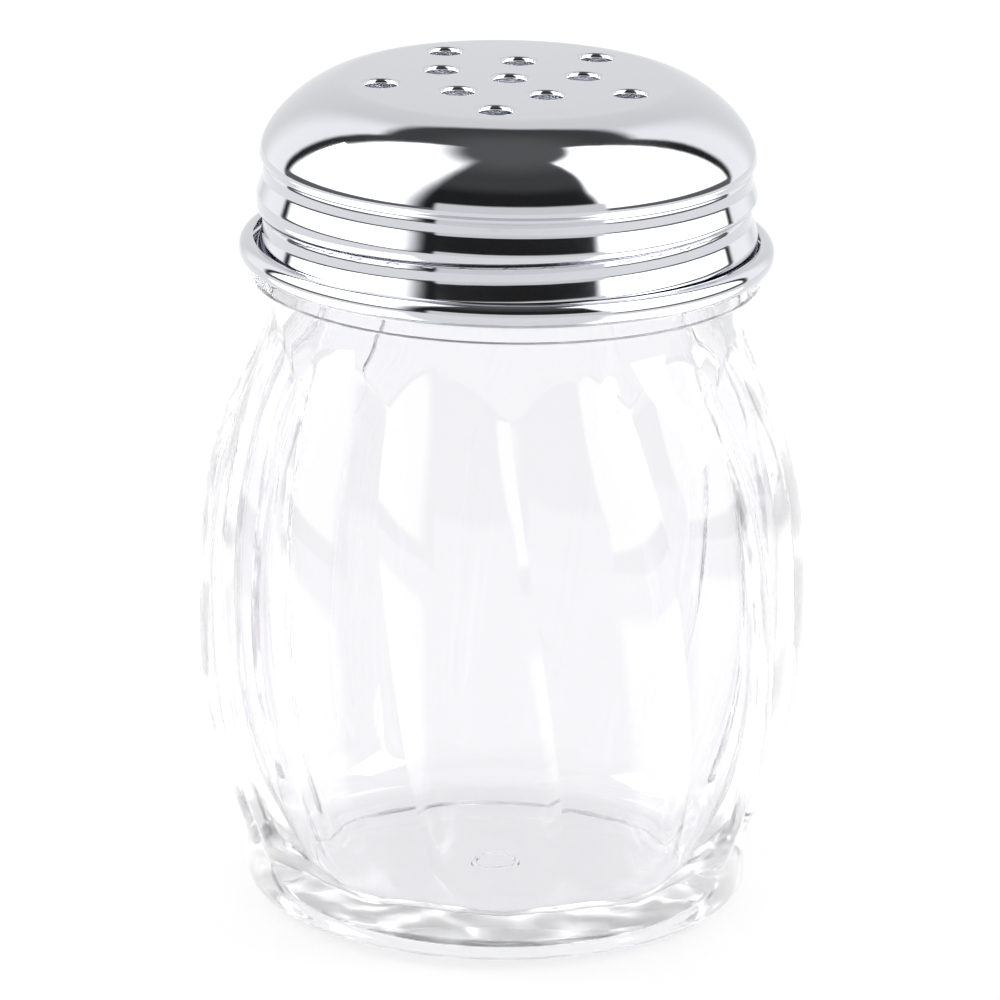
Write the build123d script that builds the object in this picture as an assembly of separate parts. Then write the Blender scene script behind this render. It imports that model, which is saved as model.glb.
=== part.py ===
"""A table shaker for spices and grated cheese: a clear swirl-fluted jar and a perforated screw lid.

Millimetres, +Z up. The origin is the centre of the jar's underside, and the front of the shaker is -Y.
The jar is one moulded piece. The lid is one drawn and plated sheet, with its thread rolled into the skirt.
"""
from math import cos, radians, sin, sqrt, tan
import os

from build123d import *

# ---- jar: foot and underside ------------------------------------------------------------------
FOOT_RADIUS = 31.45              # the plain band that the jar stands on
FOOT_BAND_HEIGHT = 7.2           # up to where the flutes swell out of the band
FOOT_ROUND_WIDTH = 5.5           # the soft lower edge of the foot: how far it reaches inwards ...
FOOT_ROUND_HEIGHT = 3.1          # ... and upwards
RECESS_RADIUS = 24.4             # the shallow recess in the underside
RECESS_DEPTH = 0.8
GATE_MARK_RADIUS = 2.8           # ring that the mould's gate leaves in the middle of the underside
GATE_MARK_WIDTH = 0.6
GATE_MARK_DEPTH = 0.35

# ---- jar: barrel, measured over the crests of its flutes --------------------------------------
BELLY_RADIUS = 38.1
BELLY_HEIGHT = 38.9
SHOULDER_HEIGHT = 75.6           # where the crests run out into the neck
FOOT_LEAN = 19.0                 # degrees from the vertical, where the barrel leaves the foot
SHOULDER_LEAN = 16.0             # the same where it meets the neck
FOOT_FULLNESS = 0.41             # how long each end of the two barrel curves keeps its direction,
BELLY_FULLNESS_BELOW = 0.49      # as a share of that curve's height
BELLY_FULLNESS_ABOVE = 0.67
SHOULDER_FULLNESS = 0.45
FOOT_RUN_IN = 0.8                # how far the barrel is carried on inside the foot ...
NECK_RUN_IN = 2.5                # ... and inside the neck

# ---- jar: swirl of flutes ---------------------------------------------------------------------
FLUTES = 12
FLUTE_DEPTH = 2.0                # from a crest down to the crease between two flutes
FLUTE_TWIST = 17.0               # degrees that a crease turns from the shoulder down to the foot
CREASE_AT_SHOULDER = -90.0       # degrees from +X: one crease starts at the front
SECTIONS_PER_CURVE = 7           # level sections through each of the two barrel curves

# ---- jar: inside ------------------------------------------------------------------------------
CREST_WALL = 3.9                 # wall under a crest
FLOOR_HEIGHT = 5.0
FLOOR_CORNER = 4.5               # radius between the floor and the wall
NECK_WALL = 2.9                  # round the bore, below the thread
BORE_RUN_OUT = 6.0               # height over which the inner shoulder turns into the bore

# ---- jar: neck, support ring and thread -------------------------------------------------------
FINISH_RADIUS = 28.8             # the threaded neck above the ring
FINISH_HEIGHT = 12.3
NECK_STEP = 0.5                  # how much thicker the neck is between the barrel and the ring
RING_UNDERSIDE = 80.0            # the clear ring that carries the lid
RING_THICKNESS = 2.3
RING_EDGE = 0.45                 # rounding of the ring's edges
RING_SETBACK = 0.2               # from the middle of the lid's rolled hem in to the ring's edge
RIM_EDGE = 0.8                   # rounding of the pouring rim
THREAD_PITCH = 5.1               # right-hand, the same on jar and lid
THREAD_HEIGHT = 0.98             # of the jar's thread over the neck
THREAD_ROUND = 1.05              # radius of its section
THREAD_TURNS_BELOW = 1.0         # from the front down and round ...
THREAD_TURNS_ABOVE = 0.2         # ... and from the front up, to just below the rim
THREAD_CLEARANCE = 0.12          # radial, between the jar's thread and the lid's grooves

# ---- lid: heights are measured from the lowest point of its hem -------------------------------
SHEET = 0.45
HEM_SEAT_GAP = 0.1               # between the hem and the rounded edge of the ring
HEM_ROLL = 1.3                   # radius of the rolled hem, outside
HEM_ROLL_END = 112.0             # degrees round the roll where the sheet's edge lies, from +X
GROOVE_DEPTH = 0.65              # from the beads between them to the bottom of the rolled grooves
GROOVE_ROUND = 1.5               # radius of a groove, outside
GROOVE_FRONT_HEIGHT = 6.5        # the rolled thread at the front of the shaker
GROOVE_TURNS_BELOW = 0.44        # it runs once round: from the back up past the front ...
GROOVE_TURNS_ABOVE = 0.55        # ... and on to the back, where it ends below the level groove
NECKING_HEIGHT = 12.4            # the level groove that parts the dome from the skirt
NECKING_ROUND = 1.25
DOME_SETBACK = 0.3               # how much narrower the dome is than the skirt
DOME_EDGE_HEIGHT = 13.4          # where the dome is widest
LID_HEIGHT = 22.95
SHOULDER_WIDTH = 10.6            # from the dome's edge in to its nearly flat crown
CROWN_RISE = 0.15                # of the crown's middle over its edge
SHOULDER_TENSION = 0.40          # fullness of the dome's shoulder: 0.55 would be a round one

# ---- lid: perforations ------------------------------------------------------------------------
HOLE_RADIUS = 2.05
HOLE_LIP = 0.6                   # radius with which the sheet turns down into each hole
LIP_SLOPE = 30.0                 # degrees between the dome's face and the start of that turn
COLLAR_DEPTH = 0.9               # how far the drawn edge hangs below the dome's outer face
INNER_CIRCLE_RADIUS = 9.25
OUTER_CIRCLE_RADIUS = 16.1
HOLES_PER_CIRCLE = 5
INNER_CIRCLE_START = 83.3        # degrees from +X, counterclockwise seen from above
OUTER_CIRCLE_START = 48.2

FRONT = -90.0
RING_TOP = RING_UNDERSIDE + RING_THICKNESS
RIM_HEIGHT = RING_TOP + FINISH_HEIGHT
NECK_RADIUS = FINISH_RADIUS + NECK_STEP
BORE_RADIUS = FINISH_RADIUS - NECK_WALL
THREAD_CREST = FINISH_RADIUS + THREAD_HEIGHT
SKIRT_RADIUS = THREAD_CREST + THREAD_CLEARANCE + SHEET + GROOVE_DEPTH
GROOVE_CENTRE_RADIUS = SKIRT_RADIUS - GROOVE_DEPTH + GROOVE_ROUND
HEM_CENTRE_RADIUS = SKIRT_RADIUS - SHEET + HEM_ROLL
RING_RADIUS = HEM_CENTRE_RADIUS - RING_SETBACK
DOME_RADIUS = SKIRT_RADIUS - DOME_SETBACK
CROWN_RADIUS = DOME_RADIUS - SHOULDER_WIDTH


# ---- outlines ---------------------------------------------------------------------------------
def along(point, lean, length):
    """The (radius, height) reached from a point, at lean degrees from the vertical."""
    return point[0] + length * sin(radians(lean)), point[1] + length * cos(radians(lean))


def barrel_curves():
    """The line over the crests: one cubic curve below the belly and one above it, as poles."""
    foot = along((FOOT_RADIUS, FOOT_BAND_HEIGHT), FOOT_LEAN, -FOOT_RUN_IN)
    belly = BELLY_RADIUS, BELLY_HEIGHT
    neck = along((NECK_RADIUS, SHOULDER_HEIGHT), -SHOULDER_LEAN, NECK_RUN_IN)
    below, above = belly[1] - foot[1], neck[1] - belly[1]
    lower = [
        foot,
        along(foot, FOOT_LEAN, FOOT_FULLNESS * below),
        (belly[0], belly[1] - BELLY_FULLNESS_BELOW * below),
        belly,
    ]
    upper = [
        belly,
        (belly[0], belly[1] + BELLY_FULLNESS_ABOVE * above),
        along(neck, -SHOULDER_LEAN, -SHOULDER_FULLNESS * above),
        neck,
    ]
    return lower, upper


def on_curve(poles, t):
    """The point at t, from 0 to 1, of a cubic curve."""
    weights = (1 - t) ** 3, 3 * (1 - t) ** 2 * t, 3 * (1 - t) * t**2, t**3
    return tuple(sum(w * pole[axis] for w, pole in zip(weights, poles)) for axis in (0, 1))


def upright(points):
    """(radius, height) pairs as points in the XZ plane."""
    return [(radius, 0, height) for radius, height in points]


def turned(*edges):
    """The solid that a closed outline in the XZ plane makes when it turns about the Z axis."""
    return revolve(make_face(edges), Axis.Z)


# ---- threads and grooves ----------------------------------------------------------------------
def helix(radius, front_height, turns_below, turns_above):
    """A right-hand thread line that passes the front at front_height."""
    line = Helix(
        pitch=THREAD_PITCH,
        height=(turns_below + turns_above) * THREAD_PITCH,
        radius=radius,
        center=(0, 0, front_height - turns_below * THREAD_PITCH),
    )
    return line.rotate(Axis.Z, FRONT - turns_below * 360)


def tube_along(line, radius):
    """A round bar that follows a thread line."""
    start = Plane(origin=line @ 0, z_dir=line % 0)
    return sweep(start * Circle(radius), path=line, is_frenet=True)


def groove_tools(base, extra=0.0):
    """What the thread roller presses in: a helix with round ends, and a level ring under the dome."""
    radius = GROOVE_ROUND + extra
    line = helix(GROOVE_CENTRE_RADIUS, base + GROOVE_FRONT_HEIGHT, GROOVE_TURNS_BELOW, GROOVE_TURNS_ABOVE)
    return [
        tube_along(line, radius),
        Pos(line @ 0) * Sphere(radius),
        Pos(line @ 1) * Sphere(radius),
        Pos(0, 0, base + NECKING_HEIGHT) * Torus(
            SKIRT_RADIUS - GROOVE_DEPTH + NECKING_ROUND, NECKING_ROUND + extra,
        ),
    ]


# ---- jar --------------------------------------------------------------------------------------
def crease_angle(height):
    """Where the first crease lies at a height, in degrees from +X."""
    share_of_drop = (SHOULDER_HEIGHT - height) / (SHOULDER_HEIGHT - FOOT_BAND_HEIGHT)
    return CREASE_AT_SHOULDER + FLUTE_TWIST * share_of_drop


def fluted_section(crest, height):
    """One level cut through the swirl: a ring of convex arcs that meet in creases."""
    pitch = 360 / FLUTES
    crease = crest - FLUTE_DEPTH

    def at(radius, angle):
        return radius * cos(radians(angle)), radius * sin(radians(angle)), height

    arcs = []
    for flute in range(FLUTES):
        start = crease_angle(height) + flute * pitch
        arcs.append(ThreePointArc(at(crease, start), at(crest, start + pitch / 2), at(crease, start + pitch)))
    return make_face(arcs)


def swirl():
    """The twisted pillows, lofted through level sections from inside the foot to inside the neck."""
    lower, upper = barrel_curves()
    steps = [step / SECTIONS_PER_CURVE for step in range(SECTIONS_PER_CURVE + 1)]
    points = [on_curve(lower, t) for t in steps] + [on_curve(upper, t) for t in steps[1:]]
    return loft([fluted_section(radius, height) for radius, height in points])


def jar_core():
    """Foot, neck and rim as one turned body. Between foot and neck it hides inside the swirl."""
    foot_flat = FOOT_RADIUS - FOOT_ROUND_WIDTH
    rim_flat = FINISH_RADIUS - RIM_EDGE
    quarter_ellipse = [1, sqrt(0.5), 1]
    foot_round = Bezier(
        *upright([(foot_flat, 0), (FOOT_RADIUS, 0), (FOOT_RADIUS, FOOT_ROUND_HEIGHT)]),
        weights=quarter_ellipse,
    )
    side = Polyline(*upright([
        (FOOT_RADIUS, FOOT_ROUND_HEIGHT),
        (FOOT_RADIUS, FOOT_BAND_HEIGHT),
        (NECK_RADIUS, SHOULDER_HEIGHT),
        (NECK_RADIUS, RING_UNDERSIDE),
        (FINISH_RADIUS, RING_TOP),
        (FINISH_RADIUS, RIM_HEIGHT - RIM_EDGE),
    ]))
    rim_round = ThreePointArc(*upright([
        (FINISH_RADIUS, RIM_HEIGHT - RIM_EDGE),
        along((rim_flat, RIM_HEIGHT - RIM_EDGE), 45, RIM_EDGE),
        (rim_flat, RIM_HEIGHT),
    ]))
    closing = Polyline(*upright([(rim_flat, RIM_HEIGHT), (0, RIM_HEIGHT), (0, 0), (foot_flat, 0)]))
    return turned(foot_round, side, rim_round, closing)


def support_ring():
    """The clear ring below the thread, with soft edges."""
    ring = Pos(0, 0, RING_UNDERSIDE) * Cylinder(
        RING_RADIUS, RING_THICKNESS, align=(Align.CENTER, Align.CENTER, Align.MIN),
    )
    return fillet(ring.edges().filter_by(GeomType.CIRCLE), RING_EDGE)


def jar_thread():
    """The raised thread that the lid's grooves run under, half a pitch above them, with round ends."""
    radius = THREAD_CREST - THREAD_ROUND
    front = lid_base() + GROOVE_FRONT_HEIGHT + THREAD_PITCH / 2
    line = helix(radius, front, THREAD_TURNS_BELOW, THREAD_TURNS_ABOVE)
    ends = [Pos(line @ end) * Sphere(THREAD_ROUND) for end in (0, 1)]
    bore = Pos(0, 0, RING_TOP) * Cylinder(
        (BORE_RADIUS + FINISH_RADIUS) / 2, FINISH_HEIGHT, align=(Align.CENTER, Align.CENTER, Align.MIN),
    )
    return tube_along(line, THREAD_ROUND) + ends - bore


def jar_cavity():
    """The smooth round inside of the jar, from the floor to past the open rim."""
    foot, foot_handle, belly_handle, belly = [
        (radius - CREST_WALL, height) for radius, height in barrel_curves()[0]
    ]
    slope = cos(radians(FOOT_LEAN))
    corner = along(foot, FOOT_LEAN, (FLOOR_HEIGHT - foot[1]) / slope)
    wall_start = along(corner, FOOT_LEAN, FLOOR_CORNER / slope)
    floor_end = corner[0] - FLOOR_CORNER, FLOOR_HEIGHT
    bore_start = SHOULDER_HEIGHT + NECK_RUN_IN
    belly_reach = BELLY_FULLNESS_ABOVE * (bore_start - belly[1])
    past_rim = RIM_HEIGHT + RIM_EDGE
    return turned(
        Line(*upright([(0, FLOOR_HEIGHT), floor_end])),
        Bezier(*upright([floor_end, corner, wall_start])),
        Bezier(*upright([wall_start, foot_handle, belly_handle, belly])),
        Bezier(*upright([
            belly, (belly[0], belly[1] + belly_reach), (BORE_RADIUS, bore_start - BORE_RUN_OUT),
            (BORE_RADIUS, bore_start),
        ])),
        Polyline(*upright([(BORE_RADIUS, bore_start), (BORE_RADIUS, past_rim), (0, past_rim),
                           (0, FLOOR_HEIGHT)])),
    )


def underside_marks():
    """What is cut from below: the recess that leaves a standing ring, and the ring of the gate mark."""
    upwards = Align.CENTER, Align.CENTER, Align.MIN
    recess = Cylinder(RECESS_RADIUS, RECESS_DEPTH, align=upwards)
    recess = chamfer(recess.faces().sort_by(Axis.Z)[-1].edges(), RECESS_DEPTH / 2)
    depth = RECESS_DEPTH + GATE_MARK_DEPTH
    gate = Cylinder(GATE_MARK_RADIUS, depth, align=upwards)
    gate -= Cylinder(GATE_MARK_RADIUS - GATE_MARK_WIDTH, depth, align=upwards)
    return recess + gate


def jar():
    outside = jar_core() + swirl() + support_ring()
    return outside - jar_cavity() - underside_marks() + jar_thread()


# ---- lid --------------------------------------------------------------------------------------
def lid_base():
    """Height of the hem's lowest point when its roll rests on the rounded edge of the ring."""
    edge_radius = RING_RADIUS - RING_EDGE
    reach = HEM_ROLL + HEM_SEAT_GAP + RING_EDGE
    rise = sqrt(reach**2 - (HEM_CENTRE_RADIUS - edge_radius) ** 2)
    return RING_TOP - RING_EDGE + rise - HEM_ROLL


def lid_form(inset):
    """Dome and skirt as a full turned body, moved inwards by inset."""
    base = lid_base()
    top, skirt_end = base + LID_HEIGHT - inset, base + HEM_ROLL
    widest = DOME_RADIUS - inset, base + DOME_EDGE_HEIGHT
    crown_edge = CROWN_RADIUS, top - CROWN_RISE
    width, height = widest[0] - crown_edge[0], crown_edge[1] - widest[1]
    step = base + NECKING_HEIGHT
    return turned(
        ThreePointArc(*upright([(-crown_edge[0], crown_edge[1]), (0, top), crown_edge])).trim(0.5, 1),
        Bezier(*upright([
            crown_edge, (crown_edge[0] + SHOULDER_TENSION * width, crown_edge[1]),
            (widest[0], widest[1] + SHOULDER_TENSION * height), widest,
        ])),
        Polyline(*upright([
            widest, (widest[0], step), (SKIRT_RADIUS - inset, step), (SKIRT_RADIUS - inset, skirt_end),
            (0, skirt_end), (0, top),
        ])),
    )


def hem():
    """The skirt's lower edge, rolled outwards into a ring that stays open towards the skirt."""
    centre = Plane(origin=(HEM_CENTRE_RADIUS, 0, lid_base() + HEM_ROLL), x_dir=(1, 0, 0), z_dir=(0, -1, 0))
    section = Circle(HEM_ROLL) - Circle(HEM_ROLL - SHEET)
    reach = 2 * HEM_ROLL
    gap = make_face(Polyline(
        (0, 0), (-reach, 0), (-reach, reach),
        (reach / tan(radians(HEM_ROLL_END)), reach), close=True,
    ))
    return revolve(centre * (section - gap), Axis.Z)


def hole_places():
    """Middles of all the perforations: one in the centre and two circles round it."""
    places = [(0.0, 0.0)]
    circles = (INNER_CIRCLE_RADIUS, INNER_CIRCLE_START), (OUTER_CIRCLE_RADIUS, OUTER_CIRCLE_START)
    for radius, start in circles:
        for hole in range(HOLES_PER_CIRCLE):
            angle = radians(start + hole * 360 / HOLES_PER_CIRCLE)
            places.append((radius * cos(angle), radius * sin(angle)))
    return places


def crown_height(x, y):
    """Height of the dome's outer face over a place on its nearly flat middle."""
    return lid_base() + LID_HEIGHT - CROWN_RISE * (x**2 + y**2) / CROWN_RADIUS**2


def hole_collar():
    """The drawn edge that hangs inside the dome below one hole."""
    upwards = Align.CENTER, Align.CENTER, Align.MIN
    collar = Cylinder(HOLE_RADIUS + SHEET, COLLAR_DEPTH - SHEET / 2, align=upwards)
    return Pos(0, 0, -COLLAR_DEPTH) * collar


def hole_cutter():
    """The opening of one hole: a rounded mouth that narrows to a straight bore."""
    mouth = HOLE_RADIUS + HOLE_LIP
    lip = ThreePointArc(*upright([
        (HOLE_RADIUS, -HOLE_LIP),
        along((mouth, -HOLE_LIP), -45, HOLE_LIP),
        (mouth, 0),
    ]))
    rest = Polyline(*upright([
        (mouth, 0), (mouth, SHEET), (0, SHEET), (0, -2 * COLLAR_DEPTH), (HOLE_RADIUS, -2 * COLLAR_DEPTH),
        (HOLE_RADIUS, -HOLE_LIP),
    ]))
    lift = HOLE_LIP * (1 - cos(radians(LIP_SLOPE)))
    return Pos(0, 0, lift) * turned(lip, rest)


def perforated_lid():
    base = lid_base()
    shell = lid_form(0.0) - groove_tools(base)
    shell -= lid_form(SHEET) - groove_tools(base, SHEET)
    shell += hem()
    places = [Pos(x, y, crown_height(x, y)) for x, y in hole_places()]
    shell += [place * hole_collar() for place in places]
    return shell - [place * hole_cutter() for place in places]


NODES = {
    "jar": jar,
    "perforated_lid": perforated_lid,
}

if __name__ == "__main__":
    os.makedirs("parts", exist_ok=True)
    for name, build in NODES.items():
        export_step(build(), f"parts/{name}.step")
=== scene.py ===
# %% [markdown]
# # A swirl-fluted table shaker
#
# The object is a jar of clear moulded plastic and a chrome-plated screw lid with eleven holes. Both pieces
# are already there as CAD solids. This notebook gives them the surfaces that light needs: a dense, smooth
# jar for refraction and a thin drawn sheet for mirror reflections. The main sizes are the CAD's own. The
# lid's rolled grooves, its hem and the inner edges of its holes are a little fuller, and the jar's inner
# wall follows its flutes.

# %% Load the frame
from math import atan2, ceil, cos, hypot, pi, radians, sin, sqrt

import bpy
from mathutils import Matrix, Vector


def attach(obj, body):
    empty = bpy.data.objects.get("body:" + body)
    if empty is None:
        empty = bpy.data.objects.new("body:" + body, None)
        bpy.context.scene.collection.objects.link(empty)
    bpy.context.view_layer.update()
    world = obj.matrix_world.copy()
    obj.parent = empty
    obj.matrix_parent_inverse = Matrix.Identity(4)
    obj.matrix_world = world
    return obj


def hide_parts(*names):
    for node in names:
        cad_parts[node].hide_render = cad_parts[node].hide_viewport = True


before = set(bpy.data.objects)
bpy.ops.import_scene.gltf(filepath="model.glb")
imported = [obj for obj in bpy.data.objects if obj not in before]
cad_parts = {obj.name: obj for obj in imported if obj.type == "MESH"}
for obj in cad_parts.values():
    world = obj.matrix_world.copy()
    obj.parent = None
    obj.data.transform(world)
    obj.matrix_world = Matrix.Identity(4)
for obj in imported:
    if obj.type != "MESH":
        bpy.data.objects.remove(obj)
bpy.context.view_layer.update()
MM = 0.001

# %% [markdown]
# ## The camera
#
# A long lens from about a metre away, a little above the lid, turned by one degree. A long lens keeps the
# jar's sides nearly parallel. The camera's axes are worked out as vectors, which is easier to read than
# three rotation angles when there is a roll.

# %% Camera
CAMERA_DISTANCE = 0.900
CAMERA_ELEVATION = radians(17.07)
CAMERA_ROLL = radians(1.03)
CAMERA_AIM = Vector((-0.00026, 0.0, 0.051))
LENS_MM, SENSOR_MM, FARTHEST = 259.2, 36, 60

forward = Vector((0, cos(CAMERA_ELEVATION), -sin(CAMERA_ELEVATION)))
level_right = Vector((1, 0, 0))
level_up = level_right.cross(forward)
camera_right = cos(CAMERA_ROLL) * level_right + sin(CAMERA_ROLL) * level_up
camera_up = cos(CAMERA_ROLL) * level_up - sin(CAMERA_ROLL) * level_right
camera_matrix = Matrix((camera_right, camera_up, -forward)).transposed().to_4x4()
camera_matrix.translation = CAMERA_AIM - CAMERA_DISTANCE * forward

bpy.ops.object.camera_add()
camera = bpy.context.object
camera.name = "camera"
camera.matrix_world = camera_matrix
camera.data.lens = LENS_MM
camera.data.sensor_width = SENSOR_MM
camera.data.clip_end = FARTHEST
bpy.context.scene.camera = camera
print("Camera stands at", [round(value, 3) for value in camera.location])

# %% [markdown]
# ## Shader maths as Python
#
# Node trees get long when every sum is a node that is placed by hand. A small class wraps one output socket,
# so that `1 - mask * 0.5` writes its own Math nodes. Any other node comes from one method.


# %% A socket that can be calculated with
class Field:
    """One output socket of a node tree that adds Math nodes when it is used in a sum."""

    def __init__(self, tree, socket=None):
        self.tree, self.socket = tree, socket

    def node(self, kind, output=0, settings=None, **inputs):
        """Adds a node of this kind: its settings first, then its inputs by name or by _index."""
        new = self.tree.nodes.new(kind)
        for key, value in (settings or {}).items():
            setattr(new, key, value)
        for key, value in inputs.items():
            self.connect(new.inputs[int(key[1:]) if key[0] == "_" else key.replace("_", " ")], value)
        return Field(self.tree, new.outputs[output])

    def connect(self, socket, value):
        """Links a field to a socket. Anything else is set on the socket itself."""
        if isinstance(value, Field):
            self.tree.links.new(value.socket, socket)
        else:
            socket.default_value = value

    def math(self, operation, *others):
        """A Math node on this field and perhaps others."""
        inputs = {f"_{index}": value for index, value in enumerate((self, *others))}
        return self.node("ShaderNodeMath", settings={"operation": operation}, **inputs)

    def __add__(self, other):
        return self.math("ADD", other)

    def __sub__(self, other):
        return self.math("SUBTRACT", other)

    def __mul__(self, other):
        return self.math("MULTIPLY", other)

    def __truediv__(self, other):
        return self.math("DIVIDE", other)

    def __rsub__(self, other):
        return self * -1 + other

    __radd__, __rmul__ = __add__, __mul__

    def blend(self, share, other):
        """This value where the share is 0, and the other where it is 1."""
        return self * (1 - share) + share * other

    def above(self, edge, width):
        """0 well below an edge and 1 well above it, with a soft change of this width."""
        settings = {"interpolation_type": "SMOOTHSTEP"}
        return self.node(
            "ShaderNodeMapRange", settings=settings, Value=self,
            From_Min=edge - width / 2, From_Max=edge + width / 2,
        )

    def below(self, edge, width):
        """1 well below an edge and 0 well above it."""
        return 1 - self.above(edge, width)

    def axes(self):
        """The X, Y and Z of a vector."""
        split = self.tree.nodes.new("ShaderNodeSeparateXYZ")
        self.connect(split.inputs[0], self)
        return [Field(self.tree, socket) for socket in split.outputs]


def light_path(tree, *outputs):
    """Fields from one Light Path node: the ray's kind, or how often it was mirrored or let through."""
    path = tree.nodes.new("ShaderNodeLightPath")
    return [Field(tree, path.outputs[name]) for name in outputs]


RAY_KINDS = "Is Camera Ray", "Is Glossy Ray", "Is Transmission Ray"
AT_LEAST_ONCE = 0.5, 0.1
print("Shader helpers are ready.")

# %% [markdown]
# ## Table and room
#
# Chrome shows the whole room, so the room is drawn with care. The shaker stands on a small white table.
# Behind it hangs a white backdrop. Two large soft boxes stand left and right and reach from the table's
# height almost to the ceiling. A white card lies low in front. Everything else is a dark room.
#
# Clear plastic shows its surroundings too, and a dark room would make it look like smoked glass. A studio
# wraps clear things in white. Here the rays are told apart instead: the camera's own rays see white, and so
# do nearly all rays that have gone through the plastic. This belongs to the room and not to the plastic, so
# the jar looks different in another scene.

# %% Floor
WHITE = (1.0, 1.0, 1.0, 1.0)
TABLE_SIZE, TABLE_GAP = 1.2, 0.1 * MM
TABLE_COLOUR = (0.86, 0.86, 0.87, 1.0)
TABLE_WHITE_SHARE, TABLE_SHARE_IN_PLASTIC = 0.76, 0.87

bpy.ops.object.select_all(action="DESELECT")
bpy.ops.mesh.primitive_plane_add(size=TABLE_SIZE, location=(0, 0, -TABLE_GAP))
table = bpy.context.object
table.name = "table"
print("The table is", TABLE_SIZE, "m wide.")

# %% [markdown]
# The table is a white sheet that is mostly lit evenly, with some real shadow under the shaker. It has no
# gloss. Seen from the chrome, a painted reflection of the soft boxes glows in it to the left and right of
# the shaker. A real glossy plane would show them to the camera as well, so the painted reflection is drawn
# for mirrored rays alone.
# Its distances are metres from the shaker's axis, and its angles degrees from straight behind.

# %% Floor material
# Where the painted reflection of the soft boxes lies on the table, and how bright it is.
BOX_IMAGE_START, BOX_IMAGE_END, BOX_IMAGE_LEVEL = (0.055, 0.02), (0.25, 0.06), 2.0
BOX_IMAGE_FROM, BOX_IMAGE_TO = (61.0, 6), (137.0, 10)
# How far the painted shade under the jar reaches, and how dark the painted shades seen through the plastic
# are.
UNDER_JAR_EDGE, UNDER_JAR_SHADE, MIRRORED_SHADE = (0.045, 0.03), 0.02, 0.3

table_material = bpy.data.materials.new("white_table")
table_material.use_nodes = True
tree = table_material.node_tree
tree.nodes.clear()
start = Field(tree)
camera_ray, glossy_ray, transmission_ray, times_mirrored = light_path(tree, *RAY_KINDS, "Glossy Depth")
white_share = (camera_ray * TABLE_WHITE_SHARE).math("MAXIMUM", glossy_ray * TABLE_WHITE_SHARE)
white_share = white_share.math("MAXIMUM", transmission_ray * TABLE_SHARE_IN_PLASTIC)

x, y, _ = start.node("ShaderNodeTexCoord", output="Object").axes()
from_axis = (x * x + y * y).math("SQRT")
aside = x.math("ARCTAN2", y).math("DEGREES").math("ABSOLUTE")
# Painted reflection of the soft boxes, drawn for mirrored rays only.
painted_box_reflection = from_axis.above(*BOX_IMAGE_START) * from_axis.below(*BOX_IMAGE_END)
painted_box_reflection = painted_box_reflection * aside.above(*BOX_IMAGE_FROM) * aside.below(*BOX_IMAGE_TO)
painted_box_reflection = painted_box_reflection * glossy_ray * (1 - transmission_ray)
mirrored = times_mirrored.above(*AT_LEAST_ONCE)
# Painted shade, for rays through the plastic only: a faint dark disc under the jar, and a darker table for
# rays that were mirrored inside the plastic, which draws the jar's edges and creases.
shade = from_axis.below(*UNDER_JAR_EDGE) * UNDER_JAR_SHADE + mirrored * MIRRORED_SHADE
level = 1 + painted_box_reflection * BOX_IMAGE_LEVEL - shade * transmission_ray

lit = start.node("ShaderNodeBsdfDiffuse", Color=TABLE_COLOUR)
plain = start.node("ShaderNodeEmission", Color=WHITE, Strength=level)
surface = start.node("ShaderNodeMixShader", _0=white_share, _1=lit, _2=plain)
start.connect(tree.nodes.new("ShaderNodeOutputMaterial").inputs["Surface"], surface)
table.data.materials.append(table_material)
print("The table's material has", len(tree.nodes), "nodes.")

# %% [markdown]
# The room is a world shader in two angles: the bearing, 0 degrees straight behind the shaker and positive to
# the right, and the elevation. Each edge below is a place and the width of its soft change, in degrees. Only
# the card's sides and its front are told by sines.

# %% Room values
ROOM_LEVEL, UPPER_LEVEL, CEILING_LEVEL = 0.02, 0.05, 0.06
UPPER_EDGE, CEILING_EDGE = (46, 16), (72, 20)
BACKDROP_LEVEL, BACKDROP_SIDE_LEVEL, BACKDROP_SIDES = 0.93, 0.35, (34, 18)
BACKDROP_EDGE, BACKDROP_TAPER = (57.0, 4), 0.12
BACKDROP_TOP, BACKDROP_SAG = (58.0, 6), 0.08
BOX_LEVEL, BOX_BOTTOM = 2.4, (1.0, 4)
RIGHT_BOX_START, RIGHT_BOX_END, RIGHT_BOX_TOP = (61.0, 3), (137.0, 6), (74.0, 4)
RIGHT_BOX_LEAN, RIGHT_BOX_LEAN_AT = 12, (56, 40)
LEFT_BOX_START, LEFT_BOX_END, LEFT_BOX_TOP = (62.0, 5), (134.0, 18), (73.0, 14)
CARD_LEVEL, CARD_TOP, CARD_LEFT, CARD_RIGHT = 0.9, (16.0, 6), (-0.545, 0.04), (0.72, 0.04)
CARD_FRONT = 0, 0.02
LOW_LEVEL, LOW_EDGE = 0.16, (1, 3)

world = bpy.data.worlds.new("studio")
bpy.context.scene.world = world
world.use_nodes = True
tree = world.node_tree
tree.nodes.clear()
start = Field(tree)
x, y, z = start.node("ShaderNodeTexCoord", output="Generated").axes()
bearing = x.math("ARCTAN2", y).math("DEGREES")
elevation = z.math("ARCSINE").math("DEGREES")
aside, leftwards = bearing.math("ABSOLUTE"), bearing * -1
print("The room is drawn by bearing and elevation.")

# %% Walls, backdrop, soft boxes and card
room = ROOM_LEVEL + elevation.above(*UPPER_EDGE) * UPPER_LEVEL
room = room + elevation.above(*CEILING_EDGE) * CEILING_LEVEL
backdrop = (elevation * BACKDROP_TAPER + aside).below(*BACKDROP_EDGE)
backdrop = backdrop * (aside * BACKDROP_SAG + elevation).below(*BACKDROP_TOP)
room = room.blend(backdrop, BACKDROP_LEVEL + aside.above(*BACKDROP_SIDES) * BACKDROP_SIDE_LEVEL)

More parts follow.
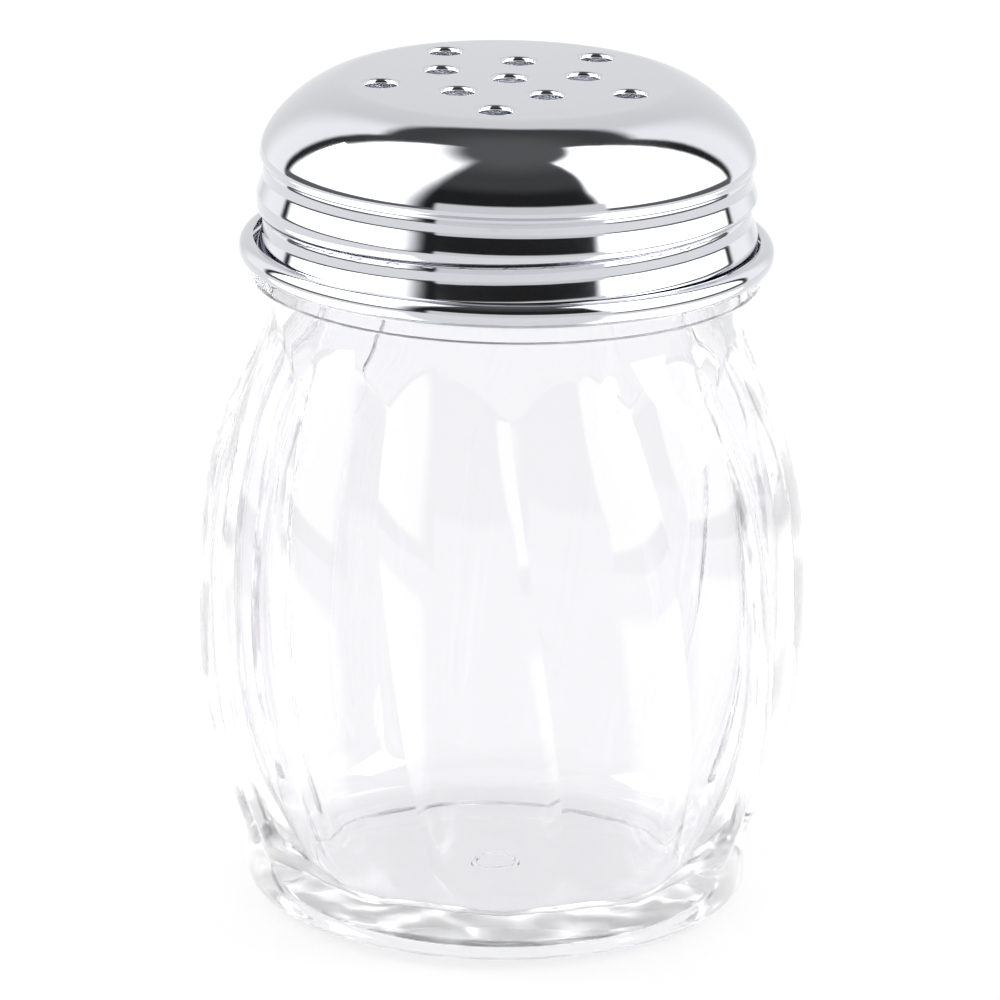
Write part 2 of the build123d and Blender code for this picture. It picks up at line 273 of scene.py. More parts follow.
above_table = elevation.above(*BOX_BOTTOM)
right_box = bearing.above(*RIGHT_BOX_START) * elevation.below(*RIGHT_BOX_TOP) * above_table
leaning = elevation.above(*RIGHT_BOX_LEAN_AT) * RIGHT_BOX_LEAN + bearing
right_box = right_box * leaning.below(*RIGHT_BOX_END)
left_box = leftwards.above(*LEFT_BOX_START) * elevation.below(*LEFT_BOX_TOP) * above_table
left_box = left_box * leftwards.below(*LEFT_BOX_END)
room = room + right_box.math("MAXIMUM", left_box) * BOX_LEVEL

sideways = x / (x * x + y * y).math("SQRT")
card = sideways.above(*CARD_LEFT) * sideways.below(*CARD_RIGHT) * y.below(*CARD_FRONT)
low = elevation.below(*LOW_EDGE) * (1 - card) * (1 - backdrop)
room = room.blend(low, LOW_LEVEL).blend(card * elevation.below(*CARD_TOP), CARD_LEVEL)
print("The room has", len(tree.nodes), "nodes.")

# %% [markdown]
# Each kind of ray that asks the world for light gets its own answer. Mirror rays see the drawn room. Rays
# that only gather light see an even white. The camera, and rays that have gone through the plastic, see
# plain white, with two exceptions. If such a ray was mirrored last, it sees the room with its darks and its
# glare held back. If it was mirrored earlier and then left the plastic, it sees a darker white, and this
# draws the edges and creases of the jar.

# %% What each ray sees
LIGHTING_LEVEL = 1.1
INNER_LOWEST, INNER_HIGHEST = 0.94, 1.5

camera_ray, glossy_ray, transmission_ray, times_mirrored, times_through = light_path(
    tree, *RAY_KINDS, "Glossy Depth", "Transmission Depth",
)
mirrored, gone_through = times_mirrored.above(*AT_LEAST_ONCE), times_through.above(*AT_LEAST_ONCE)
reflection = glossy_ray * (1 - transmission_ray)
seen_inside = room.math("MAXIMUM", INNER_LOWEST).math("MINIMUM", INNER_HIGHEST)
plain_level = 1 + (seen_inside - 1) * reflection - mirrored * (1 - reflection) * MIRRORED_SHADE
colour = start.node("ShaderNodeCombineColor", _0=room, _1=room, _2=room)
reflected = start.node("ShaderNodeBackground", Color=colour, Strength=1.0)
lighting = start.node("ShaderNodeBackground", Color=WHITE, Strength=LIGHTING_LEVEL)
plain = start.node("ShaderNodeBackground", Color=WHITE, Strength=plain_level)
mixed = start.node("ShaderNodeMixShader", _0=glossy_ray, _1=lighting, _2=reflected)
sees_plain = camera_ray.math("MAXIMUM", gone_through)
mixed = start.node("ShaderNodeMixShader", _0=sees_plain, _1=mixed, _2=plain)
start.connect(tree.nodes.new("ShaderNodeOutputWorld").inputs["Surface"], mixed)
print("The world has", len(tree.nodes), "nodes.")

# %% [markdown]
# Two area lamps stand where the soft boxes are drawn. They add the soft shadows that the even white lacks.
# A ray crosses four faces of the jar and more inside its foot, so the limit on bounces is raised.

# %% Lamps
LAMP_SIDE, LAMP_WATTS = 0.45, 3.6
LAMP_ASIDE, LAMP_BACK, LAMP_HEIGHT = 0.78, -0.14, 0.55
LID_MIDDLE = Vector((0, 0, 0.09))
BOUNCES = 24

for name, side in (("soft_box_left", -1), ("soft_box_right", 1)):
    bpy.ops.object.light_add(type="AREA", location=(side * LAMP_ASIDE, side * LAMP_BACK, LAMP_HEIGHT))
    lamp = bpy.context.object
    lamp.name = name
    lamp.data.shape = "SQUARE"
    lamp.data.size = LAMP_SIDE
    lamp.data.energy = LAMP_WATTS
    lamp.rotation_euler = (LID_MIDDLE - lamp.location).to_track_quat("-Z", "Y").to_euler()

bpy.context.scene.view_settings.view_transform = "Standard"
bpy.context.scene.cycles.max_bounces = BOUNCES
bpy.context.scene.cycles.glossy_bounces = BOUNCES
bpy.context.scene.cycles.transmission_bounces = BOUNCES
print("Two soft boxes stand at the sides.")

# %% [markdown]
# ## Drawing an outline and turning it
#
# Both pieces are round, so both start as an outline that is spun about the Z axis. The outline is drawn as
# by hand: a plane is merged to a single vertex, and that vertex is extruded from point to point.


# %% Outline helpers
def cubic(poles, steps):
    """Points along a cubic curve, without its first."""
    points = []
    for step in range(1, steps + 1):
        t = step / steps
        weights = (1 - t) ** 3, 3 * (1 - t) ** 2 * t, 3 * (1 - t) * t**2, t**3
        points.append(tuple(sum(w * pole[axis] for w, pole in zip(weights, poles)) for axis in (0, 1)))
    return points


def arc(centre, radius, start, end, steps, height=None):
    """Points round an arc from start to end degrees, without its first. A height makes it an ellipse."""
    points = []
    for step in range(1, steps + 1):
        angle = radians(start + (end - start) * step / steps)
        points.append((centre[0] + radius * cos(angle), centre[1] + (height or radius) * sin(angle)))
    return points


def straight(start, end, longest):
    """Points on a line, without its first, no further apart than longest."""
    count = max(1, ceil(hypot(end[0] - start[0], end[1] - start[1]) / longest))
    return [tuple(a + (b - a) * step / count for a, b in zip(start, end)) for step in range(1, count + 1)]


def along(point, lean, length):
    """The point reached from another, at lean degrees from the vertical."""
    return point[0] + length * sin(radians(lean)), point[1] + length * cos(radians(lean))


print("Outline helpers are ready.")

# %% Turning and reshaping
SAME_PLACE = 0.002 * MM


def edit_all():
    """Opens the active object in edit mode with everything selected."""
    bpy.ops.object.mode_set(mode="EDIT")
    bpy.ops.mesh.select_all(action="SELECT")


def turned(name, outline, steps):
    """A surface of revolution from (radius, height) points in millimetres."""
    bpy.ops.object.select_all(action="DESELECT")
    bpy.ops.mesh.primitive_plane_add(size=MM)
    piece = bpy.context.object
    piece.name = piece.data.name = name
    edit_all()
    bpy.ops.mesh.merge(type="CENTER")
    points = [Vector((radius * MM, 0, height * MM)) for radius, height in outline]
    bpy.ops.transform.translate(value=points[0])
    for before, after in zip(points, points[1:]):
        bpy.ops.mesh.extrude_region_move(TRANSFORM_OT_translate={"value": after - before})
    bpy.ops.mesh.select_all(action="SELECT")
    bpy.ops.mesh.spin(steps=steps, angle=2 * pi, center=(0, 0, 0), axis=(0, 0, 1))
    bpy.ops.mesh.select_all(action="SELECT")
    bpy.ops.mesh.remove_doubles(threshold=SAME_PLACE)
    bpy.ops.mesh.normals_make_consistent(inside=False)
    bpy.ops.object.mode_set(mode="OBJECT")
    return piece


def reshape(piece, rule):
    """Moves each vertex by a rule on its angle, radius and height, in radians and millimetres."""
    for vertex in piece.data.vertices:
        x, y, height = (value / MM for value in vertex.co)
        angle, radius, height = rule(atan2(y, x), hypot(x, y), height)
        vertex.co = radius * cos(angle) * MM, radius * sin(angle) * MM, height * MM
    piece.data.update()


def turns_from_front(angle):
    """How far round from the front an angle lies, from 0 to 1, counterclockwise from above."""
    return ((angle + pi / 2) % (2 * pi)) / (2 * pi)


def ease(value, start, end):
    """0 at the start, 1 at the end, with a soft run between them."""
    share = min(1.0, max(0.0, (value - start) / (end - start)))
    return share**2 * (3 - 2 * share)


print("Turning helpers are ready.")

# %% [markdown]
# ## The jar
#
# The jar is one moulding. Its outline runs from the middle of the underside over the foot, the barrel, the
# support ring and the rim, and down the inside to the middle of the floor. Inside and outside are one
# closed skin, which is what a ray needs to enter and leave the plastic properly.

# %% Jar sizes, in millimetres
FOOT_RADIUS, FOOT_BAND_HEIGHT = 31.45, 7.2
BELLY_RADIUS, BELLY_HEIGHT = 38.1, 38.9
NECK_RADIUS, SHOULDER_HEIGHT = 29.3, 75.6
FOOT_LEAN, SHOULDER_LEAN = 19.0, 16.0
FOOT_RUN_IN, NECK_RUN_IN = 0.8, 2.5
FOOT_FULLNESS, BELLY_FULLNESS_BELOW = 0.41, 0.49
BELLY_FULLNESS_ABOVE, SHOULDER_FULLNESS = 0.67, 0.45

# %% The line over the crests
foot_end = along((FOOT_RADIUS, FOOT_BAND_HEIGHT), FOOT_LEAN, -FOOT_RUN_IN)
neck_end = along((NECK_RADIUS, SHOULDER_HEIGHT), -SHOULDER_LEAN, NECK_RUN_IN)
belly = BELLY_RADIUS, BELLY_HEIGHT
below, above = belly[1] - foot_end[1], neck_end[1] - belly[1]
LOWER_BARREL = [
    foot_end,
    along(foot_end, FOOT_LEAN, FOOT_FULLNESS * below),
    (belly[0], belly[1] - BELLY_FULLNESS_BELOW * below),
    belly,
]
UPPER_BARREL = [
    belly,
    (belly[0], belly[1] + BELLY_FULLNESS_ABOVE * above),
    along(neck_end, -SHOULDER_LEAN, -SHOULDER_FULLNESS * above),
    neck_end,
]
CREST_LINE = [foot_end, *cubic(LOWER_BARREL, 60), *cubic(UPPER_BARREL, 80)]


def crest_radius(height):
    """Radius over the crests at a height, read off the barrel's curve."""
    for (r0, z0), (r1, z1) in zip(CREST_LINE, CREST_LINE[1:]):
        if height <= z1:
            return r0 + (r1 - r0) * (height - z0) / (z1 - z0)
    return CREST_LINE[-1][0]


def land_radius(height):
    """The plain round body that foot and neck belong to. Between them it lies inside the flutes."""
    share = min(1, max(0, (height - FOOT_BAND_HEIGHT) / (SHOULDER_HEIGHT - FOOT_BAND_HEIGHT)))
    return FOOT_RADIUS + (NECK_RADIUS - FOOT_RADIUS) * share


print("Widest at", BELLY_HEIGHT, "mm:", round(crest_radius(BELLY_HEIGHT), 2), "mm")

# %% [markdown]
# The outline is drawn in the order in which a finger would follow it. The underside has a shallow recess, so
# that the jar stands on a ring, and the faint ring of a gate mark, where the plastic entered the mould. The
# rows lie closer together near the foot and the neck, because the ends of the flutes are cut there.

# %% Underside and foot
FOOT_ROUND_WIDTH, FOOT_ROUND_HEIGHT = 5.5, 3.1
RECESS_RADIUS, RECESS_DEPTH, RECESS_ROUND, RECESS_EDGE = 24.4, 0.8, 0.8, 0.3
GATE_MARK_RADIUS, GATE_MARK_WIDTH, GATE_MARK_DEPTH, GATE_MARK_SLOPE = 2.8, 0.6, 0.35, 0.1

recess_flat = RECESS_RADIUS - RECESS_ROUND
stand_end = FOOT_RADIUS - FOOT_ROUND_WIDTH
gate_inside = GATE_MARK_RADIUS - GATE_MARK_WIDTH
gate_top = RECESS_DEPTH + GATE_MARK_DEPTH
outside = [(0, RECESS_DEPTH)]
outside += straight(outside[-1], (gate_inside, RECESS_DEPTH), 2)
outside += [(gate_inside + GATE_MARK_SLOPE, gate_top), (GATE_MARK_RADIUS - GATE_MARK_SLOPE, gate_top)]
outside += [(GATE_MARK_RADIUS, RECESS_DEPTH)]
outside += straight(outside[-1], (recess_flat, RECESS_DEPTH), 3)
outside += arc((recess_flat, 0), RECESS_ROUND, 90, 25, 5)
outside += arc((RECESS_RADIUS + RECESS_EDGE, RECESS_EDGE), RECESS_EDGE, 180, 270, 4)
outside += straight(outside[-1], (stand_end, 0), 1)
outside += arc((stand_end, FOOT_ROUND_HEIGHT), FOOT_ROUND_WIDTH, 270, 360, 14, FOOT_ROUND_HEIGHT)
print("Underside and foot:", len(outside), "points")

# %% Barrel
FLUTE_START, FLUTE_END = 5.0, 79.0
LOWER_ENDS, UPPER_ENDS = 16, 66
FINE_ROW, COARSE_ROW = 0.45, 1.0

outside += straight(outside[-1], (FOOT_RADIUS, FLUTE_START), 0.7)
height = FLUTE_START
while height < FLUTE_END:
    height += FINE_ROW if height < LOWER_ENDS or height > UPPER_ENDS else COARSE_ROW
    radius = max(crest_radius(height), land_radius(height)) if height > foot_end[1] else FOOT_RADIUS
    outside.append((radius, height))
print("With the barrel:", len(outside), "points")

# %% Ring, neck and rim
FINISH_RADIUS, BORE_RADIUS = 28.8, 25.9
RING_RADIUS, RING_UNDERSIDE, RING_TOP, RING_EDGE = 31.65, 80.0, 82.3, 0.45
RIM_HEIGHT, RIM_EDGE, BORE_EDGE = 94.6, 0.8, 0.5
UNDER_RING_FILLET, OVER_RING_FILLET = 0.5, 0.4

ring_side = RING_RADIUS - RING_EDGE
under_ring = NECK_RADIUS + UNDER_RING_FILLET, RING_UNDERSIDE - UNDER_RING_FILLET
over_ring = FINISH_RADIUS + OVER_RING_FILLET, RING_TOP + OVER_RING_FILLET
outside += arc(under_ring, UNDER_RING_FILLET, 180, 90, 5)
outside += straight(outside[-1], (ring_side, RING_UNDERSIDE), 0.5)
outside += arc((ring_side, RING_UNDERSIDE + RING_EDGE), RING_EDGE, -90, 0, 6)
outside += straight(outside[-1], (RING_RADIUS, RING_TOP - RING_EDGE), 0.5)
outside += arc((ring_side, RING_TOP - RING_EDGE), RING_EDGE, 0, 90, 6)
outside += straight(outside[-1], (over_ring[0], RING_TOP), 0.6)
outside += arc(over_ring, OVER_RING_FILLET, 270, 180, 4)
outside += straight(outside[-1], (FINISH_RADIUS, RIM_HEIGHT - RIM_EDGE), 0.26)
outside += arc((FINISH_RADIUS - RIM_EDGE, RIM_HEIGHT - RIM_EDGE), RIM_EDGE, 0, 90, 8)
print("Outside outline:", len(outside), "points")

# %% Inside of the jar, from the rim down to the middle of the floor
CREST_WALL, FLOOR_HEIGHT, FLOOR_CORNER, BORE_RUN_OUT = 3.9, 5.0, 4.5, 6.0
CORNER_TENSION = 0.66

inner_foot, inner_handle, inner_low, inner_belly = [(radius - CREST_WALL, z) for radius, z in LOWER_BARREL]
slope = cos(radians(FOOT_LEAN))
corner = along(inner_foot, FOOT_LEAN, (FLOOR_HEIGHT - inner_foot[1]) / slope)
wall_start = along(corner, FOOT_LEAN, FLOOR_CORNER / slope)
bore_start = SHOULDER_HEIGHT + NECK_RUN_IN
belly_reach = BELLY_FULLNESS_ABOVE * (bore_start - BELLY_HEIGHT)
inside = straight(outside[-1], (BORE_RADIUS + BORE_EDGE, RIM_HEIGHT), 1)
inside += arc((BORE_RADIUS + BORE_EDGE, RIM_HEIGHT - BORE_EDGE), BORE_EDGE, 90, 180, 5)
inside += straight(inside[-1], (BORE_RADIUS, bore_start), 1.2)
inside += cubic([
    inside[-1],
    (BORE_RADIUS, bore_start - BORE_RUN_OUT),
    (inner_belly[0], BELLY_HEIGHT + belly_reach),
    inner_belly,
], 32)
inside += cubic([inner_belly, inner_low, inner_handle, wall_start], 26)
inside += cubic([
    wall_start,
    along(wall_start, FOOT_LEAN, -CORNER_TENSION * FLOOR_CORNER / slope),
    (corner[0] - FLOOR_CORNER / 3, FLOOR_HEIGHT),
    (corner[0] - FLOOR_CORNER, FLOOR_HEIGHT),
], 10)
inside += straight(inside[-1], (0, FLOOR_HEIGHT), 3)
print("Inside outline:", len(inside), "points")

# %% [markdown]
# Twelve pillows swirl round the barrel and meet in sharp creases. No operator scallops a turned wall, so
# each vertex of the barrel is moved to the arc of its pillow. The whole barrel is twisted at the same time,
# so that columns of vertices run along the creases and keep them crisp. Where a pillow would sink below the
# plain foot or neck, the plain body takes over with a soft edge, and that makes the arches at both ends.
#
# The inner wall follows the pillows too, with soft creases, as in a blown wall. Towards the thick floor and
# the round bore its flutes fade out. It shows only through the plastic, where it adds fainter lines beside
# the highlights of the outer face.

# %% Flutes
FLUTES, FLUTE_DEPTH, FLUTE_TWIST = 12, 2.0, radians(17.0)
FLUTE_PITCH = 2 * pi / FLUTES
SOFT_EDGE = 0.35
INNER_SHIFT, INNER_CREASE = 0.8, 1.2
INNER_FLUTE_FOOT, INNER_FLUTE_NECK = (7.0, 20.0), (77.0, 66.0)


def pillow_radius(from_middle, crest):
    """Radius of one pillow, an angle away from its middle line: an arc through crest and creases."""
    crease = crest - FLUTE_DEPTH
    centre = (crest**2 - crease**2) / (2 * (crest - crease * cos(FLUTE_PITCH / 2)))
    return centre * cos(from_middle) + sqrt((crest - centre) ** 2 - (centre * sin(from_middle)) ** 2)


def softly_larger(a, b, width):
    """The larger of two lengths, with a rounded change between them."""
    share = max(0.0, width - abs(a - b)) / width
    return max(a, b) + width * share**2 / 4


def fluted(angle, radius, height):
    """The radius of a point on either face of the wall, once the flutes are pressed into it."""
    crest = crest_radius(height)
    from_middle = (angle + pi / 2) % FLUTE_PITCH - FLUTE_PITCH / 2
    pillow = pillow_radius(from_middle, crest)
    if radius > crest - CREST_WALL / 2:
        return softly_larger(pillow, land_radius(height), SOFT_EDGE)
    if height > FLOOR_HEIGHT:
        neighbour = pillow_radius(FLUTE_PITCH - abs(from_middle), crest)
        share = ease(height, *INNER_FLUTE_FOOT) * ease(height, *INNER_FLUTE_NECK)
        return radius + share * (softly_larger(pillow, neighbour, INNER_CREASE) - crest + INNER_SHIFT)
    return radius


print("A crease is", FLUTE_DEPTH, "mm deep, and one flute takes", round(360 / FLUTES), "degrees.")

# %% [markdown]
# The jar's thread is a low rounded rib that winds a little more than once round the neck, right-handed. It
# fades in and out at its ends, as the cutter leaves it in the mould.

# %% Thread, and the finished jar
THREAD_PITCH, THREAD_HEIGHT, THREAD_HALF_WIDTH = 5.1, 0.98, 1.35
THREAD_FRONT_HEIGHT, THREAD_TURNS_BELOW, THREAD_TURNS_ABOVE = 91.33, 1.0, 0.2
THREAD_FADE, THREAD_ROUNDING = 25, 1.4
SEGMENTS = FLUTES * 25
JAR_SMOOTH_ANGLE = radians(28)


def thread_lift(angle, height):
    """How far the jar's right-hand thread stands out of the neck."""
    lift = 0.0
    for turn in (-2, -1, 0, 1):
        place = turns_from_front(angle) + turn
        if -THREAD_TURNS_BELOW <= place <= THREAD_TURNS_ABOVE:
            to_end = min(place + THREAD_TURNS_BELOW, THREAD_TURNS_ABOVE - place)
            fade = sqrt(min(1, to_end * THREAD_FADE))
            off = abs(height - THREAD_FRONT_HEIGHT - place * THREAD_PITCH) / THREAD_HALF_WIDTH
            if off < 1:
                lift = max(lift, THREAD_HEIGHT * fade * cos(off * pi / 2) ** THREAD_ROUNDING)
    return lift


def jar_rule(angle, radius, height):
    """Flutes on both faces of the wall, the thread on the neck, and the twist."""
    if foot_end[1] < height < FLUTE_END:
        radius = fluted(angle, radius, height)
    elif height > RING_TOP and radius > FINISH_RADIUS - 0.01:
        radius += thread_lift(angle, height)
    share = (SHOULDER_HEIGHT - height) / (SHOULDER_HEIGHT - FOOT_BAND_HEIGHT)
    return angle + FLUTE_TWIST * min(1, max(0, share)), radius, height


jar = turned("clear_jar", outside + inside[:-1] + [(0, FLOOR_HEIGHT)], SEGMENTS)
reshape(jar, jar_rule)
bpy.ops.object.shade_smooth_by_angle(angle=JAR_SMOOTH_ANGLE)
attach(jar, "jar")
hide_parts("jar")
print("Jar:", len(jar.data.polygons), "faces")

# %% [markdown]
# Clear plastic is mostly what shines through it. With the full index of a plastic, and with walls as thick
# as these, the sides of the jar would turn dark. So the body of the plastic bends light only a little, and
# a clear coat with the true index adds the bright mirror of the glossy skin. A faint ripple from the mould
# wobbles the lines that are seen through the walls.


# %% Jar material
def new_material(name, **sockets):
    """A material with these values on its Principled shader, that shader, and a field to start from."""
    material = bpy.data.materials.new(name)
    material.use_nodes = True
    shader, start = material.node_tree.nodes["Principled BSDF"], Field(material.node_tree)
    for key, value in sockets.items():
        start.connect(shader.inputs[key.replace("_", " ")], value)
    return material, shader, start


def noise(place, scale, detail, roughness):
    """Noise in the object's own space, so that it stays on the piece as it moves."""
    return place.node("ShaderNodeTexNoise", Vector=place, Scale=scale, Detail=detail, Roughness=roughness)


PLASTIC_TINT = (0.971, 0.968, 0.982, 1.0)
BODY_INDEX, SKIN_INDEX, SKIN_ROUGHNESS = 1.14, 1.48, 0.02
SMOOTHEST_PLASTIC, SCUFFS, SCUFF_EDGE = 0.004, 0.02, (0.62, 0.2)

clear_plastic, shader, start = new_material(
    "clear_plastic", Base_Color=PLASTIC_TINT, Transmission_Weight=1.0, IOR=BODY_INDEX,
    Coat_Weight=1.0, Coat_IOR=SKIN_INDEX, Coat_Roughness=SKIN_ROUGHNESS,
)
place = start.node("ShaderNodeTexCoord", output="Object")
ripple, scuffs = noise(place, 55.0, 1.0, 0.4), noise(place, 900.0, 3.0, 0.6)
bump = start.node("ShaderNodeBump", Height=ripple, Strength=0.06, Distance=0.0006)
start.connect(shader.inputs["Roughness"], SMOOTHEST_PLASTIC + scuffs.above(*SCUFF_EDGE) * SCUFFS)
start.connect(shader.inputs["Normal"], bump)
jar.data.materials.append(clear_plastic)
print("The jar has its plastic.")

# %% [markdown]
# ## The lid
#
# The lid is drawn from one sheet. Only its outer face is modelled, and a Solidify modifier gives the sheet
# its thickness at the end. The flat crown with its holes is a filled plate, and one drawn-in hole is turned
# and copied into each opening of the plate. The dome, skirt and rolled hem are turned in one go.

# %% Lid sizes, in millimetres
SHEET = 0.45
LID_BASE, LID_TOP = 82.282, 105.232
CROWN_RADIUS, CROWN_RISE = 20.1, 0.15
LID_SEGMENTS = 288
HOLE_CIRCLES = ((0.0, 0.0, 1), (9.25, 83.3, 5), (16.1, 48.2, 5))
hole_places = [
    (radius * cos(radians(start + 360 * k / count)), radius * sin(radians(start + 360 * k / count)))
    for radius, start, count in HOLE_CIRCLES
    for k in range(count)
]
print(len(hole_places), "holes")

# %% Crown plate with its openings
HOLE_PLATE_RADIUS, HOLE_SEGMENTS = 3.0, 48

bpy.ops.object.select_all(action="DESELECT")
bpy.ops.mesh.primitive_circle_add(vertices=LID_SEGMENTS, radius=CROWN_RADIUS * MM, fill_type="NOTHING")
crown = bpy.context.object
crown.name = "crown"
bpy.ops.object.mode_set(mode="EDIT")
for x, y in hole_places:
    bpy.ops.mesh.primitive_circle_add(
        vertices=HOLE_SEGMENTS, radius=HOLE_PLATE_RADIUS * MM, fill_type="NOTHING",
        location=(x * MM, y * MM, 0),
    )
bpy.ops.mesh.select_all(action="SELECT")
bpy.ops.mesh.fill(use_beauty=True)
bpy.ops.object.mode_set(mode="OBJECT")
print("Crown plate:", len(crown.data.polygons), "faces")

# %% One drawn-in hole, and its copies
HOLE_RADIUS, HOLE_LIP, COLLAR_DEPTH = 2.05, 0.6, 1.3
FLAT_ROUND_LIP = 0.25

mouth = HOLE_RADIUS + HOLE_LIP
lip = [(HOLE_PLATE_RADIUS, 0), (mouth + FLAT_ROUND_LIP, 0), (mouth, 0)]
lip += arc((mouth, -HOLE_LIP), HOLE_LIP, 90, 180, 9)
lip += [(HOLE_RADIUS, -COLLAR_DEPTH)]
hole = turned("hole", lip, HOLE_SEGMENTS)
inserts = [hole]
for x, y in hole_places[1:]:
    copy = hole.copy()
    copy.data = hole.data.copy()
    bpy.context.collection.objects.link(copy)
    copy.location = x * MM, y * MM, 0
    inserts.append(copy)
print("Hole inserts:", len(inserts))

# %% [markdown]
# The dome has a full shoulder and ends in a level groove. Below it the skirt is straight for now, with rows
# close together for the thread. The sheet's edge is rolled outwards into a hem that stays open.

# %% Dome, skirt and rolled hem
DOME_RADIUS, DOME_EDGE, SHOULDER_TENSION = 30.7, 95.75, 0.40
SKIRT_RADIUS, GROOVE_DEPTH, NECKING_HEIGHT, NECKING_REACH = 31.0, 0.88, 94.78, 0.5
HEM_ROLL, HEM_HALF_HEIGHT, HEM_ROLL_END = 1.3, 1.5, 112.0
LONGEST_ROW = 0.13

crown_edge = CROWN_RADIUS, LID_TOP - CROWN_RISE
dome_edge = DOME_RADIUS, DOME_EDGE
width, height = dome_edge[0] - crown_edge[0], crown_edge[1] - dome_edge[1]
hem_centre = SKIRT_RADIUS - SHEET + HEM_ROLL, LID_BASE + HEM_HALF_HEIGHT
necking_radius = SKIRT_RADIUS - GROOVE_DEPTH
skirt = [crown_edge]
skirt += cubic([
    crown_edge,
    (crown_edge[0] + SHOULDER_TENSION * width, crown_edge[1]),
    (dome_edge[0], dome_edge[1] + SHOULDER_TENSION * height),
    dome_edge,
], 34)
skirt += cubic([
    dome_edge,
    (dome_edge[0], dome_edge[1] - NECKING_REACH),
    (necking_radius, NECKING_HEIGHT + NECKING_REACH),
    (necking_radius, NECKING_HEIGHT),
], 7)
skirt += straight((SKIRT_RADIUS, NECKING_HEIGHT), (SKIRT_RADIUS, hem_centre[1]), LONGEST_ROW)
skirt += arc(hem_centre, HEM_ROLL - SHEET, 180, 360 + HEM_ROLL_END, 22, HEM_HALF_HEIGHT - SHEET)
shell = turned("chrome_lid", skirt, LID_SEGMENTS)
print("Dome and skirt:", len(shell.data.polygons), "faces")

# %% [markdown]
# The thread is rolled into the skirt from outside. Each groove has the profile of a roof tile: a short
# return under the bead above, a sharp crease, an upright band and a slope out to the crest of the next bead.
# A level groove of the same shape parts the dome from the skirt.
#
# No operator rolls a groove along a helix, so the vertices are moved by a rule. A mirror shows every step
# where a slanting crease cuts across level rows. So the row nearest to the crease is moved onto it, and its
# neighbours go with it.

# %% Rolled grooves
GROOVE_FRONT_HEIGHT, GROOVE_TURNS_BELOW, GROOVE_TURNS_ABOVE = 89.02, 0.44, 0.55
GROOVE_FADE = 12
GROOVE_SHAPE = (
    (1.60, 0.0), (1.35, 0.023), (1.10, 0.092), (0.90, 0.18), (0.70, 0.305), (0.50, 0.472), (0.35, 0.623),
    (0.20, 0.798), (0.08, 0.943), (0.0, 1.0), (-0.10, 0.983), (-0.20, 0.947), (-0.30, 0.911), (-0.45, 0.883),
    (-0.80, 0.864), (-1.20, 0.843), (-1.65, 0.82), (-1.80, 0.795), (-2.0, 0.724), (-3.60, 0.14),
    (-3.80, 0.067), (-4.0, 0.013), (-4.15, 0.0),
)
SKIRT_LENGTH = NECKING_HEIGHT - hem_centre[1]
ROW = SKIRT_LENGTH / ceil(SKIRT_LENGTH / LONGEST_ROW)
ROWS_MOVE_FULLY, ROWS_STAY = 0.3, 1.2


def groove_share(off):
    """Share of a groove's depth at a height over (or under) its crease."""
    for (upper, above_it), (lower, below_it) in zip(GROOVE_SHAPE, GROOVE_SHAPE[1:]):
        if upper >= off > lower:
            return below_it + (above_it - below_it) * (off - lower) / (upper - lower)
    return 0.0


def lid_rule(angle, radius, height):
    """Presses the level groove and the helical one into the skirt."""
    if abs(radius - SKIRT_RADIUS) > 0.001 or not hem_centre[1] < height < NECKING_HEIGHT:
        return angle, radius, height
    share = groove_share(height - NECKING_HEIGHT)
    for turn in (-1, 0):
        place = turns_from_front(angle) + turn
        if -GROOVE_TURNS_BELOW <= place <= GROOVE_TURNS_ABOVE:
            to_end = min(place + GROOVE_TURNS_BELOW, GROOVE_TURNS_ABOVE - place)
            fade = min(1, to_end * GROOVE_FADE)
            crease = GROOVE_FRONT_HEIGHT + place * THREAD_PITCH
            rows_down = (NECKING_HEIGHT - crease) / ROW
            nearest = 1 - ease(abs(height - crease), ROWS_MOVE_FULLY, ROWS_STAY)
            height += nearest * (round(rows_down) - rows_down) * ROW
            share = max(share, fade * groove_share(height - crease))
    return angle, radius - GROOVE_DEPTH * min(1, share), height


reshape(shell, lid_rule)
print("The grooves are", GROOVE_DEPTH, "mm deep.")

# %% [markdown]
# The crown plate and its holes are still flat and lie on the ground. They are joined, domed a little, lifted
# into place and merged with the shell. The sheet then gets its thickness, inwards from the outer face.

# %% Crown and shell become one sheet
MERGE_DISTANCE = 0.01 * MM
LID_SMOOTH_ANGLE = radians(35)


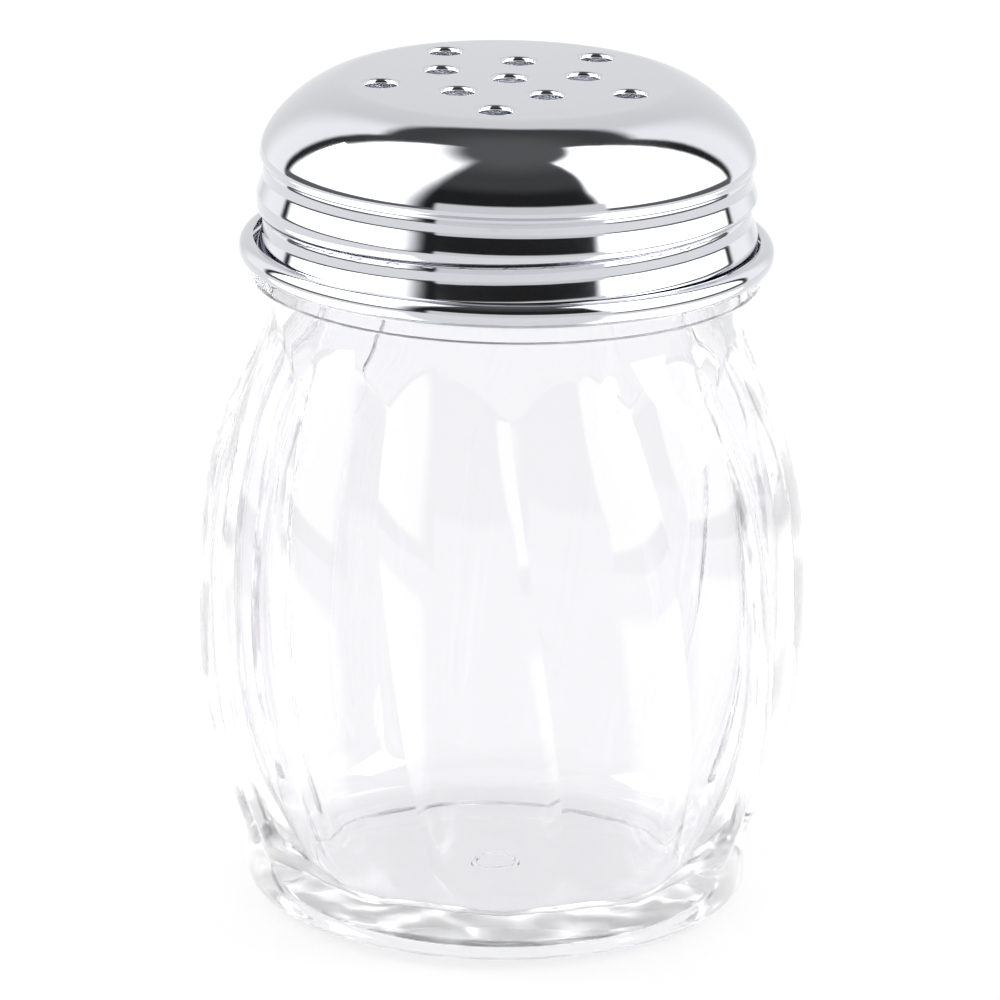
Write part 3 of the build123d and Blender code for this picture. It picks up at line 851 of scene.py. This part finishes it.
def join(main, others):
    """Joins objects into the main one, which stays active."""
    for piece in (main, *others):
        piece.select_set(True)
    bpy.context.view_layer.objects.active = main
    bpy.ops.object.join()


bpy.ops.object.select_all(action="DESELECT")
join(crown, inserts)
for vertex in crown.data.vertices:
    from_axis = hypot(vertex.co.x, vertex.co.y) / MM
    vertex.co.z += (LID_TOP - CROWN_RISE * (from_axis / CROWN_RADIUS) ** 2) * MM
join(shell, [crown])
edit_all()
bpy.ops.mesh.remove_doubles(threshold=MERGE_DISTANCE)
bpy.ops.mesh.normals_make_consistent(inside=False)
bpy.ops.object.mode_set(mode="OBJECT")
top_face = max(shell.data.polygons, key=lambda face: face.center.z)
if top_face.normal.z < 0:
    shell.data.flip_normals()
print("Lid's outer face:", len(shell.data.polygons), "faces")

# %% The sheet's thickness
solidify = shell.modifiers.new("sheet", "SOLIDIFY")
solidify.thickness = SHEET * MM
solidify.offset = -1
bpy.ops.object.modifier_apply(modifier=solidify.name)
bpy.ops.object.shade_smooth_by_angle(angle=LID_SMOOTH_ANGLE)
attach(shell, "lid")
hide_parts("perforated_lid")
print("Lid:", len(shell.data.polygons), "faces")

# %% [markdown]
# Chrome plate is a mirror with a cool tint. Two things keep it from looking like a computed mirror: a
# slight orange peel from the polished sheet below the plating, and a haze of fine wipe marks.

# %% Lid material
CHROME_TINT = (0.618, 0.63, 0.665, 1.0)
SMOOTHEST_CHROME, HAZE, HAZE_EDGE = 0.045, 0.03, (0.55, 0.5)

chrome, shader, start = new_material("chrome_plate", Metallic=1.0, Base_Color=CHROME_TINT)
place = start.node("ShaderNodeTexCoord", output="Object")
peel, wipe_marks = noise(place, 260.0, 2.0, 0.5), noise(place, 70.0, 4.0, 0.6)
bump = start.node("ShaderNodeBump", Height=peel, Strength=0.05, Distance=0.0002)
start.connect(shader.inputs["Roughness"], SMOOTHEST_CHROME + wipe_marks.above(*HAZE_EDGE) * HAZE)
start.connect(shader.inputs["Normal"], bump)
shell.data.materials.append(chrome)
print("The lid has its chrome.")
